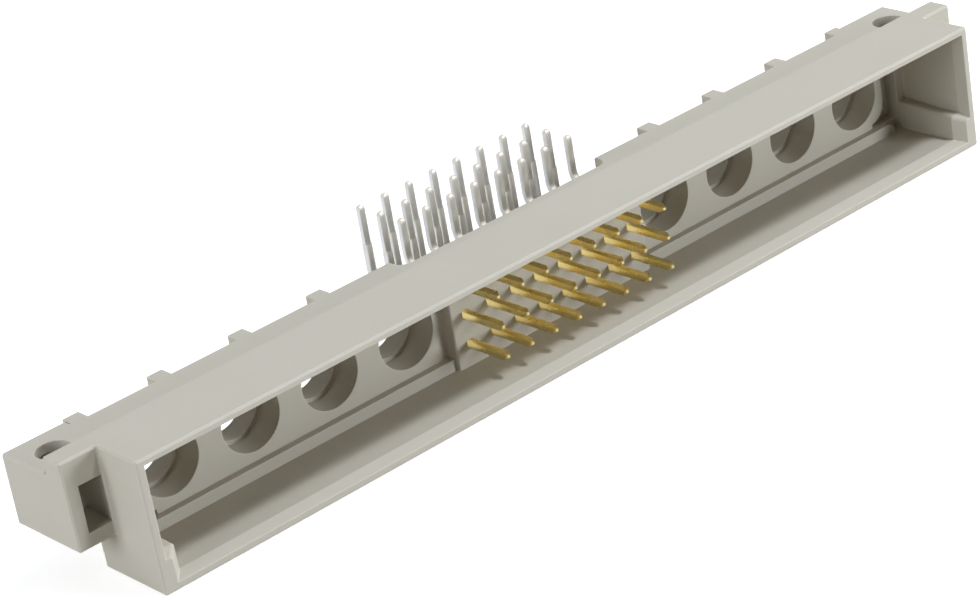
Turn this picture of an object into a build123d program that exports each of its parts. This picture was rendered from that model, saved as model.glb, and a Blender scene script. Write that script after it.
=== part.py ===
from build123d import *
import os

# Board connector with a long moulded shroud, a block of pins and two groups of round cavities.
# X runs along the connector, -Y is the side that the mating half comes from, and +Z is the board side.
# The origin is midway between the two screw holes, on the face that the board lies on.

# Contact grid, shared by the moulding and the contacts
grid_pitch = 2.54
columns = 8
rows = 3
axis_drop = 3.97
first_tail_row = 2.54

# Round cavities for special contacts
cavity_count = 4
cavity_pitch = 7.62
first_cavity_place = 13.97
cavity_bore = 5.4
cavity_bore_depth = 2.5
cavity_through = 4.8

# Moulding along its length, from the last cavity outwards
shroud_end_margin = 6.92
end_wall = 1.04
ear_reach = 3.25

# Screw holes in the ears, a little outside the shroud's ends
screw_offset = 0.7
screw_hole = 2.8

# Moulding from front to back, each reach counted from the line of the screws
mouth_reach = 9.6
ear_front = 4.85
board_stop = 2.75
contact_face = 2.3
shroud_back = 2.25
web_back = 0.3
carrier_back = 2.22
ear_back = 3.0

# Moulding heights, counted from the face that the board lies on
lip_height = 1.45
seat_height = 9.35
ear_height = 5.8
roof_wall = 0.93
floor_wall = 1.0

# Lead-in around the mouth
lead_in = 0.4
lead_depth = 0.9

# Ledges along the foot and the head of the contact carrier, inside the shroud
ledge_proud = 0.75
foot_ledge_height = 0.95
foot_ledge_end_gap = 2.0
foot_ledge_end_radius = 0.9
head_ledge_height = 1.35
ledge_edge = 0.12

# Raised block that holds the pins
block_width = 20.66
block_proud = 1.15
block_edge = 0.1

# Rounded ends of the carrier's face and the groove beside each
carrier_end_radius = 2.0
carrier_end_edge = 0.4
carrier_end_slope = 45
carrier_overhang = 0.37
end_groove_width = 1.01
end_groove_depth = 1.0

# Coding ribs in the lower corners of the shroud, with a post behind each
coding_rib_width = 1.0
coding_rib_back_height = 2.45
coding_rib_front_height = 2.15
coding_rib_mouth_width = 0.55
coding_rib_mouth_height = 2.1
coding_rib_edge = 0.3
coding_rib_root = 0.2
corner_post_proud = 0.37

# Ribs on the back, one beside each cavity
back_rib_width = 1.4
back_rib_proud = 1.28

# Recess in the back that the tails bend up through
tail_recess_width = 22.2
tail_recess_depth = 1.66
tail_recess_radius = 1.0

# Cored pocket in the front of each ear
pocket_side_wall = 1.1
pocket_roof = 0.81
pocket_floor = 1.18
pocket_back_wall = 1.2

# Broken outer edges of the moulding
outer_edge = 0.14

# Contacts, bent from square wire
wire = 0.6
pin_tip_reach = 7.95
pin_tip_length = 0.4
pin_tip_taper = 20
bend_radius = 1.2
tail_corner = 0.17
tail_shoulder_drop = 0.6
shoulder_run = 0.1
tail_tip_height = 2.8
tail_tip_length = 0.2
tail_tip_taper = 30
barb_width = 0.86
barb_length = 1.0
barb_seat_depth = 1.46
channel_clearance = 0.01

# Places that follow from the sizes above
last_cavity_place = first_cavity_place + (cavity_count - 1) * cavity_pitch
half_shroud = last_cavity_place + shroud_end_margin
half_length = half_shroud + ear_reach
half_mouth = half_shroud - end_wall
screw_place = half_shroud + screw_offset
roof_level = lip_height - roof_wall
floor_level = floor_wall - seat_height
mouth_height = roof_level - floor_level
mouth_middle = (roof_level + floor_level) / 2
lead_reach = mouth_reach - lead_depth
coding_rib_face = half_mouth - coding_rib_width
carrier_width = 2 * (coding_rib_face - end_groove_width)
ledge_reach = contact_face + ledge_proud
block_reach = contact_face + block_proud
recess_face = carrier_back - tail_recess_depth
ear_inner = last_cavity_place + cavity_pitch / 2 + back_rib_width / 2
sides = (-1, 1)
close_enough = 0.001
one_side_places = [first_cavity_place + n * cavity_pitch for n in range(cavity_count)]
cavity_places = [side * x for side in sides for x in one_side_places]
back_rib_places = [x + x / abs(x) * cavity_pitch / 2 for x in cavity_places]


def front_plane(reach):
    """Plane that faces the mating half, this far in front of the line of the screws."""
    return Plane.XZ.offset(reach)


def row_level(row):
    """Height of one row of pins, where row 0 lies nearest the board."""
    return -axis_drop + ((rows - 1) / 2 - row) * grid_pitch


def is_at(value, place):
    """True where a coordinate is at this place, to the modelling accuracy."""
    return abs(value - place) < close_enough


def is_block_edge(edge):
    """True for the upright front corners of the raised block."""
    middle = edge.center()
    at_corner = is_at(middle.Y, -block_reach) and is_at(abs(middle.X), block_width / 2)
    return at_corner and is_at(abs(edge.tangent_at(0).Z), 1)


def rib_section(side, reach, flare, width, height):
    """Section of a coding rib with its upper inner corner rounded, sunk a little into wall and floor."""
    inner = half_mouth + flare - width
    outer = half_mouth + flare + coding_rib_root
    bottom = floor_level - flare - coding_rib_root
    top = floor_level - flare + height
    with BuildSketch(front_plane(reach)) as section:
        with Locations((side * (inner + outer) / 2, (bottom + top) / 2)):
            Rectangle(outer - inner, top - bottom)
        inner_corner = section.vertices().group_by(Axis.Y)[-1].sort_by(Axis.X)[0 if side > 0 else -1]
        fillet(inner_corner, radius=coding_rib_edge)
    return section.sketch


with BuildPart() as housing:
    # Outside of the shroud, whose roof ends in a step that stops the board's edge
    with BuildSketch(Plane.YZ):
        with BuildLine():
            Polyline(
                (-mouth_reach, -seat_height),
                (-shroud_back, -seat_height),
                (-shroud_back, 0),
                (-board_stop, 0),
                (-board_stop, lip_height),
                (-mouth_reach, lip_height),
                close=True,
            )
        make_face()
    extrude(amount=half_shroud, both=True)

    # Contact carrier behind the shroud
    with BuildSketch(Plane.YZ):
        with Locations((-shroud_back, 0)):
            Rectangle(shroud_back + carrier_back, seat_height, align=(Align.MIN, Align.MAX))
    extrude(amount=ear_inner + carrier_overhang, both=True)

    # Web that closes the shroud's corners under the ears
    with BuildSketch(Plane.YZ):
        with Locations((-shroud_back, -seat_height)):
            Rectangle(shroud_back - web_back, seat_height - ear_height / 2, align=(Align.MIN, Align.MIN))
    extrude(amount=half_mouth, both=True)

    # Ears for the screws
    with BuildSketch(Plane.YZ.offset(ear_inner)):
        with BuildLine():
            Polyline(
                (-ear_front, -ear_height),
                (ear_back, -ear_height),
                (ear_back, 0),
                (-board_stop, 0),
                (-board_stop, lip_height),
                (-ear_front, lip_height),
                close=True,
            )
        make_face()
    extrude(amount=half_length - ear_inner)
    mirror(about=Plane.YZ)
    chamfer(housing.edges(), length=outer_edge)

    # Ribs on the back
    with BuildSketch(Plane.XY):
        with Locations([(x, carrier_back - outer_edge) for x in back_rib_places]):
            Rectangle(back_rib_width, back_rib_proud + outer_edge, align=(Align.CENTER, Align.MIN))
    extrude(amount=-seat_height)
    chamfer(housing.edges(Select.LAST).group_by(Axis.Y)[-1], length=outer_edge)

    # Inside of the shroud, first in front of the pin block, then beside it, then behind the ledges
    with BuildSketch(front_plane(block_reach)):
        with Locations((0, mouth_middle)):
            Rectangle(2 * half_mouth, mouth_height)
    extrude(amount=mouth_reach - block_reach, mode=Mode.SUBTRACT)
    with BuildSketch(front_plane(ledge_reach)):
        with Locations((0, mouth_middle)):
            Rectangle(2 * half_mouth, mouth_height)
            Rectangle(block_width, mouth_height, mode=Mode.SUBTRACT)
    extrude(amount=block_reach - ledge_reach, mode=Mode.SUBTRACT)
    with BuildSketch(front_plane(contact_face)):
        with Locations((0, floor_level)):
            Rectangle(2 * half_mouth, mouth_height - head_ledge_height, align=(Align.CENTER, Align.MIN))
            Rectangle(block_width, mouth_height, align=(Align.CENTER, Align.MIN), mode=Mode.SUBTRACT)
    extrude(amount=ledge_proud, mode=Mode.SUBTRACT)
    chamfer(housing.edges().filter_by(is_block_edge), length=block_edge)

    # Lead-in around the mouth
    for reach, growth in ((lead_reach, 0), (mouth_reach, lead_in)):
        with BuildSketch(front_plane(reach)):
            with Locations((0, mouth_middle)):
                Rectangle(2 * (half_mouth + growth), mouth_height + 2 * growth)
    loft(mode=Mode.SUBTRACT)

    # Ledge along the foot of the carrier, rounded off at its ends
    foot_ledge_length = 2 * (half_mouth - foot_ledge_end_gap)
    with BuildSketch(front_plane(contact_face)) as foot_ledge:
        with Locations((0, floor_level)):
            Rectangle(foot_ledge_length, foot_ledge_height, align=(Align.CENTER, Align.MIN))
        fillet(foot_ledge.vertices().group_by(Axis.Y)[-1], radius=foot_ledge_end_radius)
    extrude(amount=ledge_proud)
    upper_front_edge = housing.edges(Select.LAST).group_by(Axis.Y)[0].sort_by(Axis.Z)[-1]
    chamfer(upper_front_edge, length=ledge_edge)

    # Grooves beside the ends of the carrier, whose rounded ends have a broken front edge
    groove_height = mouth_height - head_ledge_height - foot_ledge_height
    groove_middle = floor_level + foot_ledge_height + groove_height / 2
    with BuildSketch(front_plane(contact_face)):
        with Locations((0, groove_middle)):
            Rectangle(2 * coding_rib_face, groove_height)
            Rectangle(carrier_width - 2 * carrier_end_radius, groove_height, mode=Mode.SUBTRACT)
    extrude(amount=-end_groove_depth, mode=Mode.SUBTRACT)
    with BuildSketch(front_plane(contact_face - carrier_end_edge)) as carrier_end:
        with Locations((0, groove_middle)):
            RectangleRounded(carrier_width, groove_height, carrier_end_radius)
    extrude(amount=carrier_end_edge - end_groove_depth)
    extrude(carrier_end.sketch, amount=carrier_end_edge, taper=carrier_end_slope)

    # Corner posts, with the coding ribs in front of them
    for side in sides:
        with BuildSketch(front_plane(contact_face)):
            with Locations((side * (coding_rib_face + half_mouth) / 2, floor_level)):
                Rectangle(coding_rib_width, mouth_height - head_ledge_height, align=(Align.CENTER, Align.MIN))
        extrude(amount=corner_post_proud)
        loft(
            [
                rib_section(side, contact_face, 0, coding_rib_width, coding_rib_back_height),
                rib_section(side, lead_reach, 0, coding_rib_width, coding_rib_front_height),
                rib_section(side, mouth_reach, lead_in, coding_rib_mouth_width, coding_rib_mouth_height),
            ],
            ruled=True,
        )

    # Stepped cavities for the special contacts
    with Locations(front_plane(contact_face)):
        with Locations([(x, -axis_drop) for x in cavity_places]):
            CounterBoreHole(cavity_through / 2, cavity_bore / 2, cavity_bore_depth)

    # Channels for the contacts, with a wider seat for each barb
    channel = wire + 2 * channel_clearance
    with BuildSketch(front_plane(block_reach)):
        with Locations((0, -axis_drop)):
            with GridLocations(grid_pitch, grid_pitch, columns, rows):
                Rectangle(channel, channel)
    extrude(amount=-(block_reach + carrier_back), mode=Mode.SUBTRACT)
    with BuildSketch(front_plane(-recess_face)):
        with Locations((0, -axis_drop)):
            with GridLocations(grid_pitch, grid_pitch, columns, rows):
                Rectangle(barb_width + 2 * channel_clearance, channel)
    extrude(amount=barb_seat_depth, mode=Mode.SUBTRACT)

    # Recess that the tails bend up through
    with BuildSketch(Plane.XY):
        with Locations((0, carrier_back)):
            RectangleRounded(tail_recess_width, 2 * tail_recess_depth, tail_recess_radius)
    extrude(amount=-seat_height, mode=Mode.SUBTRACT)

    # Screw holes and the cored pockets that cross them
    with Locations([(side * screw_place, 0) for side in sides]):
        Hole(screw_hole / 2)
    pocket_width = half_length - pocket_side_wall - half_shroud
    pocket_height = ear_height - pocket_roof - pocket_floor
    pocket_middle = half_shroud + pocket_width / 2
    with BuildSketch(front_plane(ear_front)):
        with Locations([(side * pocket_middle, -pocket_roof) for side in sides]):
            Rectangle(pocket_width, pocket_height, align=(Align.CENTER, Align.MAX))
    extrude(amount=-(ear_front + ear_back - pocket_back_wall), mode=Mode.SUBTRACT)


def make_contact(column, row):
    """Right-angle contact: a square pin with a barb, a bend, and a tail with its corners coined off."""
    x = (column - (columns - 1) / 2) * grid_pitch
    level = row_level(row)
    tail = first_tail_row + row * grid_pitch
    pin_start = pin_tip_reach - pin_tip_length
    # The nearest row bends so close to the board that its shoulder is pushed up
    shoulder = max(-tail_shoulder_drop, level + bend_radius + shoulder_run)
    with BuildPart() as contact:
        with BuildLine(Plane.YZ.offset(x)):
            FilletPolyline((-pin_start, level), (tail, level), (tail, shoulder), radius=bend_radius)
        with BuildSketch(front_plane(pin_start)) as pin:
            with Locations((x, level)):
                Rectangle(wire, wire)
        sweep()
        extrude(pin.sketch, amount=pin_tip_length, taper=pin_tip_taper)
        with BuildSketch(front_plane(barb_seat_depth - recess_face)):
            with Locations((x, level)):
                Rectangle(barb_width, wire)
        extrude(amount=-barb_length)
        with BuildSketch(Plane.XY.offset(shoulder)) as tail_section:
            with Locations((x, tail)):
                Rectangle(wire, wire)
            chamfer(tail_section.vertices(), length=tail_corner)
        extrude(amount=tail_tip_height - tail_tip_length - shoulder)
        extrude(contact.faces().sort_by(Axis.Z)[-1], amount=tail_tip_length, taper=tail_tip_taper)
    return contact


os.makedirs("parts", exist_ok=True)
housing.part.label = "housing"
export_step(housing.part, "parts/housing.step")
for row in range(rows):
    for column in range(columns):
        contact = make_contact(column, row)
        contact.part.label = f"contact_{'abc'[row]}{column + 1}"
        export_step(contact.part, f"parts/{contact.part.label}.step")
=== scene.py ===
import logging
import math
from dataclasses import dataclass, field
from enum import Enum
from typing import Any, Optional

import bmesh
import bpy
from mathutils import Matrix, Quaternion, Vector


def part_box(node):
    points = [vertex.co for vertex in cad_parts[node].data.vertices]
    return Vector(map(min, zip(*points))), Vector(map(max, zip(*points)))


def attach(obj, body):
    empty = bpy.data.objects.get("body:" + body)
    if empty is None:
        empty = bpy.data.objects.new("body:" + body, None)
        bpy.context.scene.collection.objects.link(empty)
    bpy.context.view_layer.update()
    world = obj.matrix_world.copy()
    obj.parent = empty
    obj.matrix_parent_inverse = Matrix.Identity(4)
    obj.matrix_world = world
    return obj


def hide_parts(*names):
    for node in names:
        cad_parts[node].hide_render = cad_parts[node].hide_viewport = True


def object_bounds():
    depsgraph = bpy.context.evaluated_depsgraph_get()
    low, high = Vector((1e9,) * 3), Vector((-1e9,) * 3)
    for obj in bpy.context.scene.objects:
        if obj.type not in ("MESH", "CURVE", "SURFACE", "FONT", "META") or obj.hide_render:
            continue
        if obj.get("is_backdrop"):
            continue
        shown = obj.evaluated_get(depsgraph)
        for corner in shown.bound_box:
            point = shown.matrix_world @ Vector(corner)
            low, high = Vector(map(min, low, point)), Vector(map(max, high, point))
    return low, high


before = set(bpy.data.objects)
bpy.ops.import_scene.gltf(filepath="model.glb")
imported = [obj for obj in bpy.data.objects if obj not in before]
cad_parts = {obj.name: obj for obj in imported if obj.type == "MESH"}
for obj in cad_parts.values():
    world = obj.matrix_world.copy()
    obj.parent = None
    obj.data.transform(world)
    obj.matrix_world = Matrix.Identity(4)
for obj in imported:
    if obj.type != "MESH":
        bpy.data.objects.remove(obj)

MM = 0.001
QUARTER_TURN = math.radians(90)
LOG = logging.getLogger("backplane_connector")

# A Mix node's colour sockets share their names with its number sockets, so they go by their place.
MIX_FIRST, MIX_SECOND, MIX_RESULT = 6, 7, 2


class Axis(Enum):
    """The three directions of the part's own frame."""

    X = Vector((1.0, 0.0, 0.0))
    Y = Vector((0.0, 1.0, 0.0))
    Z = Vector((0.0, 0.0, 1.0))


class Row(Enum):
    """The three rows of contacts, named from the board outwards."""

    NEAREST = "a"
    MIDDLE = "b"
    FURTHEST = "c"


def linear_colour(code: str) -> tuple[float, float, float, float]:
    """Turn an sRGB hex code into the linear colour that a shader takes.

    Args:
        code: Six hex digits, with or without a leading hash.

    Returns:
        Red, green, blue and an alpha of one.
    """
    digits = code.lstrip("#")
    channels = []
    for start in (0, 2, 4):
        value = int(digits[start:start + 2], 16) / 255
        low = value <= 0.04045
        channels.append(value / 12.92 if low else ((value + 0.055) / 1.055) ** 2.4)
    return (channels[0], channels[1], channels[2], 1.0)


def add_node(tree: bpy.types.NodeTree, kind: str, settings: Optional[dict[str, Any]] = None,
             values: Optional[dict[Any, Any]] = None) -> bpy.types.Node:
    """Add one shader node with its settings, its socket values and its links.

    Args:
        tree: The node tree that takes the node.
        kind: Blender's type name of the node.
        settings: The node's own properties, by name.
        values: What goes into each input, by socket name or number. An output socket is linked.

    Returns:
        The new node.
    """
    node = tree.nodes.new(kind)
    for name, value in (settings or {}).items():
        setattr(node, name, value)
    for socket, value in (values or {}).items():
        if isinstance(value, bpy.types.NodeSocket):
            tree.links.new(value, node.inputs[socket])
        else:
            node.inputs[socket].default_value = value
    return node


def new_material(name: str) -> tuple[bpy.types.Material, bpy.types.NodeTree]:
    """Start an empty node material.

    Args:
        name: The material's plain name.

    Returns:
        The material and its emptied node tree.
    """
    material = bpy.data.materials.new(name)
    material.use_nodes = True
    material.node_tree.nodes.clear()
    return material, material.node_tree


def dress(piece: bpy.types.Object, material: bpy.types.Material) -> None:
    """Give a piece this one material, in place of any that it has."""
    piece.data.materials.clear()
    piece.data.materials.append(material)


def set_down(name: str, mesh: bmesh.types.BMesh) -> bpy.types.Object:
    """Turn a finished mesh into an object at the origin, with its place in the mesh.

    Args:
        name: The object's name.
        mesh: The finished mesh, which is freed.

    Returns:
        The new object, in the scene.
    """
    data = bpy.data.meshes.new(name)
    mesh.to_mesh(data)
    mesh.free()
    piece = bpy.data.objects.new(name, data)
    bpy.context.scene.collection.objects.link(piece)
    return piece


@dataclass(frozen=True)
class MouldedPolyester:
    """Glass-filled polyester, injection moulded in a spark-eroded tool.

    The eye sees a warm pebble grey with a fine matt skin and faint cloudy flow in the colour. The edges are
    painted a little lighter and warmer: a painted highlight along the rounded edges, on top of a faint
    subsurface glow.
    The real skin's grain is finer than the render can show, so it is drawn 0.09 mm across.
    """

    body_colour: str = "#BDB6A5"
    cloud_colour: str = "#B8B19F"
    # Painted highlight: the lighter, warmer colour painted along the rounded edges.
    edge_highlight_colour: str = "#DDD3C2"
    roughness: float = 0.52
    resin_ior: float = 1.55
    shine: float = 0.12
    cloud_size_mm: float = 6.0
    cloud_detail: float = 3.0
    cloud_breakup: float = 0.6
    skin_grain_mm: float = 0.09
    skin_detail: float = 2.0
    skin_depth_mm: float = 0.0035
    edge_radius_mm: float = 0.12
    edge_samples: int = 6
    # Where the painted edge highlight starts and where it is full, by how far the rounded normal turns from
    # the flat one.
    edge_highlight_start: float = 0.99
    edge_highlight_full: float = 0.85
    glow: float = 0.03
    glow_depth_mm: float = 0.5

    def build(self) -> bpy.types.Material:
        """Make the node material.

        Returns:
            The finished material.
        """
        material, tree = new_material("moulded_polyester")
        place = add_node(tree, "ShaderNodeTexCoord").outputs["Object"]
        cloud = add_node(tree, "ShaderNodeTexNoise", values={
            "Vector": place, "Scale": 1 / (self.cloud_size_mm * MM), "Detail": self.cloud_detail,
            "Roughness": self.cloud_breakup})
        skin = add_node(tree, "ShaderNodeTexNoise", values={
            "Vector": place, "Scale": 1 / (self.skin_grain_mm * MM), "Detail": self.skin_detail})
        rounded = add_node(tree, "ShaderNodeBevel", {"samples": self.edge_samples}, {
            "Radius": self.edge_radius_mm * MM})
        flat = add_node(tree, "ShaderNodeNewGeometry").outputs["Normal"]
        turn = add_node(tree, "ShaderNodeVectorMath", {"operation": "DOT_PRODUCT"}, {
            0: rounded.outputs["Normal"], 1: flat})
        # Painted highlight: the edges are mixed toward a lighter, warmer colour where the rounded normal
        # turns from the flat one.
        edge = add_node(tree, "ShaderNodeMapRange", values={
            "Value": turn.outputs["Value"], "From Min": self.edge_highlight_start, "From Max": self.edge_highlight_full})
        body = add_node(tree, "ShaderNodeMix", {"data_type": "RGBA"}, {
            "Factor": cloud.outputs["Fac"], MIX_FIRST: linear_colour(self.cloud_colour),
            MIX_SECOND: linear_colour(self.body_colour)})
        colour = add_node(tree, "ShaderNodeMix", {"data_type": "RGBA"}, {
            "Factor": edge.outputs["Result"], MIX_FIRST: body.outputs[MIX_RESULT],
            MIX_SECOND: linear_colour(self.edge_highlight_colour)})
        relief = add_node(tree, "ShaderNodeBump", values={
            "Height": skin.outputs["Fac"], "Distance": self.skin_depth_mm * MM, "Strength": 1.0,
            "Normal": rounded.outputs["Normal"]})
        shader = add_node(tree, "ShaderNodeBsdfPrincipled", values={
            "Base Color": colour.outputs[MIX_RESULT], "Roughness": self.roughness, "IOR": self.resin_ior,
            "Specular IOR Level": self.shine,
            "Subsurface Weight": self.glow, "Subsurface Scale": self.glow_depth_mm * MM,
            "Normal": relief.outputs["Normal"]})
        add_node(tree, "ShaderNodeOutputMaterial", values={"Surface": shader.outputs["BSDF"]})
        return material


@dataclass(frozen=True)
class PlatedWire:
    """Drawn copper-alloy wire, hard gold at the mating end and bright tin at the solder tail.

    The eye sees fine lines along the wire, a deep yellow mirror that is a little worn, and a pale tin
    that is softer and cloudier. The real lines are too fine to show, so they are drawn 0.08 mm wide.
    """

    gold_colour: str = "#F2DD97"
    tin_colour: str = "#F5F6F6"
    gold_roughness: float = 0.25
    tin_roughness: float = 0.3
    cloudiness: float = 0.06
    plating_border_mm: float = -1.0
    border_width_mm: float = 0.3
    line_width_mm: float = 0.08
    line_length_mm: float = 4.0
    line_depth_mm: float = 0.0005
    cloud_size_mm: float = 0.8
    noise_detail: float = 2.0

    def build(self) -> bpy.types.Material:
        """Make the node material.

        Returns:
            The finished material.
        """
        material, tree = new_material("plated_wire")
        place = add_node(tree, "ShaderNodeTexCoord").outputs["Object"]
        axes = add_node(tree, "ShaderNodeSeparateXYZ", values={0: place})
        border = self.plating_border_mm * MM
        half = self.border_width_mm * MM / 2
        tin_share = add_node(tree, "ShaderNodeMapRange", values={
            "Value": axes.outputs["Y"], "From Min": border - half, "From Max": border + half})
        stretch = self.line_width_mm / self.line_length_mm
        lengthwise = add_node(tree, "ShaderNodeMapping", values={
            "Vector": place, "Scale": (1.0, stretch, stretch)})
        lines = add_node(tree, "ShaderNodeTexNoise", values={
            "Vector": lengthwise.outputs["Vector"], "Scale": 1 / (self.line_width_mm * MM),
            "Detail": self.noise_detail})
        cloud = add_node(tree, "ShaderNodeTexNoise", values={
            "Vector": place, "Scale": 1 / (self.cloud_size_mm * MM), "Detail": self.noise_detail})
        colour = add_node(tree, "ShaderNodeMix", {"data_type": "RGBA"}, {
            "Factor": tin_share.outputs["Result"], MIX_FIRST: linear_colour(self.gold_colour),
            MIX_SECOND: linear_colour(self.tin_colour)})
        plain = add_node(tree, "ShaderNodeMapRange", values={
            "Value": axes.outputs["Y"], "From Min": border - half, "From Max": border + half,
            "To Min": self.gold_roughness, "To Max": self.tin_roughness})
        rough = add_node(tree, "ShaderNodeMath", {"operation": "MULTIPLY_ADD"}, {
            0: cloud.outputs["Fac"], 1: self.cloudiness, 2: plain.outputs["Result"]})
        relief = add_node(tree, "ShaderNodeBump", values={
            "Height": lines.outputs["Fac"], "Distance": self.line_depth_mm * MM})
        shader = add_node(tree, "ShaderNodeBsdfPrincipled", values={
            "Base Color": colour.outputs[MIX_RESULT], "Metallic": 1.0, "Roughness": rough.outputs["Value"],
            "Normal": relief.outputs["Normal"]})
        add_node(tree, "ShaderNodeOutputMaterial", values={"Surface": shader.outputs["BSDF"]})
        return material


@dataclass
class Housing:
    """The one-piece moulding, which keeps its solid from the frame and takes its finish here."""

    node: str = "housing"
    finish: MouldedPolyester = field(default_factory=MouldedPolyester)

    def build(self) -> None:
        """Dress the moulding."""
        dress(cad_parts[self.node], self.finish.build())
        LOG.info("dressed %s", self.node)


@dataclass
class ContactSet:
    """The formed contacts: a square pin with a tapered end, a barb, a bend and a tail with coined corners."""

    columns: int = 8
    wire_mm: float = 0.6
    wire_corner_mm: float = 0.06
    corner_steps: int = 3
    pin_tip_length_mm: float = 0.4
    pin_tip_share: float = 0.38
    barb_front_mm: float = -0.9
    barb_length_mm: float = 1.0
    bend_radius_mm: float = 1.2
    bend_steps: int = 10
    shoulder_drop_mm: float = 0.6
    shoulder_length_mm: float = 0.08
    tail_corner_mm: float = 0.17
    dome_rise_mm: float = 0.34
    dome_steps: int = 5
    dome_flat_steps: float = 0.5
    sharp_degrees: float = 35.0
    finish: PlatedWire = field(default_factory=PlatedWire)

    def grow(self, mesh: bmesh.types.BMesh, end: bmesh.types.BMFace, shift: Vector,
             scale: Vector = Vector((1, 1, 1))) -> bmesh.types.BMFace:
        """Extrude the end face of a contact one step further.

        Args:
            mesh: The contact's mesh so far.
            end: Its end face.
            shift: How far the new end lies from the old one.
            scale: How much larger the new end is, along each axis.

        Returns:
            The new end face.
        """
        grown = bmesh.ops.extrude_face_region(mesh, geom=[end])["geom"]
        points = [item for item in grown if isinstance(item, bmesh.types.BMVert)]
        new_end = next(item for item in grown if isinstance(item, bmesh.types.BMFace))
        middle = new_end.calc_center_bounds()
        bmesh.ops.scale(mesh, verts=points, vec=scale, space=Matrix.Translation(-middle))
        bmesh.ops.translate(mesh, verts=points, vec=shift)
        return new_end

    def coin(self, end: bmesh.types.BMFace) -> None:
        """Press the small corners of a square end face into the large round corners of the tail."""
        middle = end.calc_center_bounds()
        half = self.wire_mm * MM / 2
        small = self.wire_corner_mm * MM
        large = self.tail_corner_mm * MM
        for point in end.verts:
            reach = point.co - middle
            corner = Vector([math.copysign(1, part) if abs(part) > small / 2 else 0.0 for part in reach])
            point.co = middle + corner * (half - large) + (reach - corner * (half - small)) * large / small

    def shape(self, name: str) -> bmesh.types.BMesh:
        """Form one contact in the space that its node holds.

        Args:
            name: The node that gives its place and lengths.

        Returns:
            The closed mesh, in metres.
        """
        low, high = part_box(name)
        half = self.wire_mm * MM / 2
        x = (low.x + high.x) / 2
        level = low.z + half
        tail = high.y - half
        radius = self.bend_radius_mm * MM
        barb_front = self.barb_front_mm * MM
        barb_length = self.barb_length_mm * MM
        barb_width = (high.x - low.x) / (2 * half)
        tip_length = self.pin_tip_length_mm * MM
        shoulder_length = self.shoulder_length_mm * MM
        shoulder = -self.shoulder_drop_mm * MM
        straight = tail - radius - barb_front - barb_length
        coined_bend = level + radius > shoulder
        forward, upward = Axis.Y.value, Axis.Z.value

        mesh = bmesh.new()
        start = Matrix.Translation((x, low.y, level)) @ Matrix.Rotation(QUARTER_TURN, 4, "X")
        bmesh.ops.create_grid(mesh, x_segments=1, y_segments=1, size=half, matrix=start)
        bmesh.ops.bevel(mesh, geom=mesh.verts[:], offset=self.wire_corner_mm * MM, segments=self.corner_steps,
                        profile=0.5, affect="VERTICES", material=-1)
        mesh.faces.ensure_lookup_table()
        end = mesh.faces[0]
        thin = self.pin_tip_share
        bmesh.ops.scale(mesh, verts=mesh.verts[:], vec=(thin, 1, thin),
                        space=Matrix.Translation(-end.calc_center_bounds()))
        end = self.grow(mesh, end, forward * tip_length, Vector((1 / thin, 1, 1 / thin)))
        end = self.grow(mesh, end, forward * (barb_front - low.y - tip_length))
        end = self.grow(mesh, end, Vector(), Vector((barb_width, 1, 1)))
        end = self.grow(mesh, end, forward * barb_length)
        end = self.grow(mesh, end, Vector(), Vector((1 / barb_width, 1, 1)))
        if coined_bend:
            end = self.grow(mesh, end, forward * shoulder_length)
            self.coin(end)
            end = self.grow(mesh, end, forward * (straight - shoulder_length))
        else:
            end = self.grow(mesh, end, forward * straight)
        bent = bmesh.ops.spin(mesh, geom=[end], cent=(x, tail - radius, level + radius), axis=Axis.X.value,
                              angle=QUARTER_TURN, steps=self.bend_steps, use_merge=False)
        end = next(item for item in bent["geom_last"] if isinstance(item, bmesh.types.BMFace))
        if not coined_bend:
            end = self.grow(mesh, end, upward * (shoulder - level - radius))
            end = self.grow(mesh, end, upward * shoulder_length)
            self.coin(end)
        rise = self.dome_rise_mm * MM
        steps = self.dome_steps + self.dome_flat_steps
        end = self.grow(mesh, end, upward * (high.z - rise - end.calc_center_bounds().z))
        for step in range(1, self.dome_steps + 1):
            before = QUARTER_TURN * (step - 1) / steps
            now = QUARTER_TURN * step / steps
            lift = rise * (math.sin(now) - math.sin(before))
            shrink = math.cos(now) / math.cos(before)
            end = self.grow(mesh, end, upward * lift, Vector((shrink, shrink, 1)))
        bmesh.ops.recalc_face_normals(mesh, faces=mesh.faces[:])
        return mesh

    def build(self) -> None:
        """Form every contact, dress it and set it in place of its node."""
        material = self.finish.build()
        sharp = math.radians(self.sharp_degrees)
        for row in Row:
            for column in range(1, self.columns + 1):
                node = f"contact_{row.value}{column}"
                mesh = self.shape(node)
                for edge in mesh.edges:
                    edge.smooth = edge.calc_face_angle(0.0) < sharp
                for face in mesh.faces:
                    face.smooth = True
                piece = set_down(f"{node}_formed", mesh)
                dress(piece, material)
                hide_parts(node)
                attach(piece, "root")
                LOG.info("formed %s", piece.name)


@dataclass(frozen=True)
class SoftBox:
    """A square soft lamp that faces the part."""

    name: str
    place_mm: Vector
    size_mm: float
    power: float
    colour: str = "#E8F0FF"
    mirrored: bool = False

    def build(self) -> None:
        """Hang the lamp. Metal mirrors it only where it says so."""
        data = bpy.data.lights.new(self.name, "AREA")
        data.size = self.size_mm * MM
        data.energy = self.power
        data.color = linear_colour(self.colour)[:3]
        lamp = bpy.data.objects.new(self.name, data)
        lamp.visible_glossy = self.mirrored
        lamp.location = self.place_mm * MM
        lamp.rotation_euler = (-self.place_mm).to_track_quat("-Z", "Y").to_euler()
        bpy.context.scene.collection.objects.link(lamp)


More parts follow.
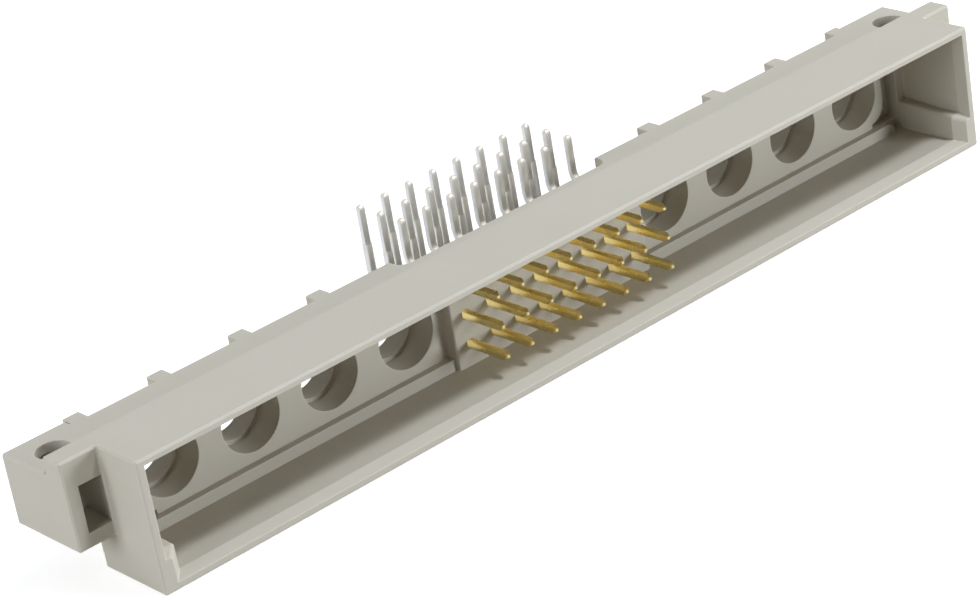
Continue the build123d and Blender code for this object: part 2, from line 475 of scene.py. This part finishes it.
@dataclass
class Studio:
    """A white floor in a soft tent, lit from above, both sides and the front, and a little from behind."""

    floor_size_mm: float = 3000.0
    floor_colour: str = "#D0CDC6"
    floor_gap_mm: float = 0.02
    floor_lift: float = 0.7
    floor_gleam: float = 0.17
    sky_colour: str = "#FFF6E8"
    sky_strength: float = 0.04
    sky_gleam: float = 0.75
    seen_colour: str = "#FFFFFF"
    seen_strength: float = 1.0
    lamps: tuple[SoftBox, ...] = (
        SoftBox("key", Vector((190, -200, 588)), 90.0, 2.7, mirrored=True),
        SoftBox("right", Vector((618, 0, 201)), 400.0, 3.9),
        SoftBox("front", Vector((313, -542, 100)), 200.0, 2.7),
        SoftBox("left", Vector((-618, 10, 201)), 400.0, 3.6),
        SoftBox("back", Vector((-100, 400, 500)), 400.0, 0.7),
    )

    def build_floor(self) -> None:
        """Lay the floor a hair under the part, white to the camera and keeping the part's shadow."""
        low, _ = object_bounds()
        level = low[2] - self.floor_gap_mm * MM
        mesh = bmesh.new()
        bmesh.ops.create_grid(mesh, x_segments=1, y_segments=1, size=self.floor_size_mm * MM / 2,
                              matrix=Matrix.Translation((0, 0, level)))
        floor = set_down("floor", mesh)
        material, tree = new_material("white_floor")
        path = add_node(tree, "ShaderNodeLightPath")
        mirrored = add_node(tree, "ShaderNodeMath", {"operation": "MULTIPLY"}, {
            0: path.outputs["Is Glossy Ray"], 1: self.floor_gleam})
        lift = add_node(tree, "ShaderNodeMath", {"operation": "MULTIPLY_ADD"}, {
            0: path.outputs["Is Camera Ray"], 1: self.floor_lift, 2: mirrored.outputs["Value"]})
        paper = add_node(tree, "ShaderNodeBsdfDiffuse", values={"Color": linear_colour(self.floor_colour)})
        glow = add_node(tree, "ShaderNodeEmission", values={"Strength": lift.outputs["Value"]})
        both = add_node(tree, "ShaderNodeAddShader", values={
            0: paper.outputs["BSDF"], 1: glow.outputs["Emission"]})
        add_node(tree, "ShaderNodeOutputMaterial", values={"Surface": both.outputs["Shader"]})
        dress(floor, material)
        floor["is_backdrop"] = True

    def build_sky(self) -> None:
        """Set the tent's light: faint on the part, pale in polished metal and white to the camera."""
        world = bpy.data.worlds.new("tent")
        bpy.context.scene.world = world
        world.use_nodes = True
        tree = world.node_tree
        tree.nodes.clear()
        path = add_node(tree, "ShaderNodeLightPath")
        seen = path.outputs["Is Camera Ray"]
        mirrored = add_node(tree, "ShaderNodeMapRange", values={
            "Value": path.outputs["Is Glossy Ray"], "To Min": self.sky_strength, "To Max": self.sky_gleam})
        strength = add_node(tree, "ShaderNodeMapRange", values={
            "Value": seen, "To Min": mirrored.outputs["Result"], "To Max": self.seen_strength})
        colour = add_node(tree, "ShaderNodeMix", {"data_type": "RGBA"}, {
            "Factor": seen, MIX_FIRST: linear_colour(self.sky_colour),
            MIX_SECOND: linear_colour(self.seen_colour)})
        glow = add_node(tree, "ShaderNodeBackground", values={
            "Color": colour.outputs[MIX_RESULT], "Strength": strength.outputs["Result"]})
        add_node(tree, "ShaderNodeOutputWorld", values={"Surface": glow.outputs["Background"]})

    def build(self) -> None:
        """Set up the floor, the tent and the lamps."""
        self.build_floor()
        self.build_sky()
        for lamp in self.lamps:
            lamp.build()
        LOG.info("set up the studio")


@dataclass(frozen=True)
class Viewpoint:
    """The photograph's viewing angle, in millimetres of the part's frame."""

    place_mm: Vector = Vector((-140.72, -178.24, 98.69))
    target_mm: Vector = Vector((-3.64, 0.0, -5.97))
    roll_degrees: float = -9.97
    lens_mm: float = 115.45
    sensor_mm: float = 36.0
    nearest_mm: float = 1.0

    def build(self) -> None:
        """Make the camera and look through it."""
        data = bpy.data.cameras.new("camera")
        data.lens = self.lens_mm
        data.sensor_width = self.sensor_mm
        data.clip_start = self.nearest_mm * MM
        camera = bpy.data.objects.new("camera", data)
        look = (self.target_mm - self.place_mm).to_track_quat("-Z", "Y")
        roll = Quaternion((0, 0, 1), math.radians(self.roll_degrees))
        camera.rotation_mode = "QUATERNION"
        camera.rotation_quaternion = look @ roll
        camera.location = self.place_mm * MM
        bpy.context.scene.collection.objects.link(camera)
        bpy.context.scene.camera = camera


def main() -> None:
    """Build the parts in order, then the studio and the camera."""
    logging.basicConfig(level=logging.INFO)
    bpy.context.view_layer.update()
    Housing().build()
    ContactSet().build()
    Viewpoint().build()
    Studio().build()
    bpy.context.scene.view_settings.view_transform = "Standard"


if __name__ == "__main__":
    main()
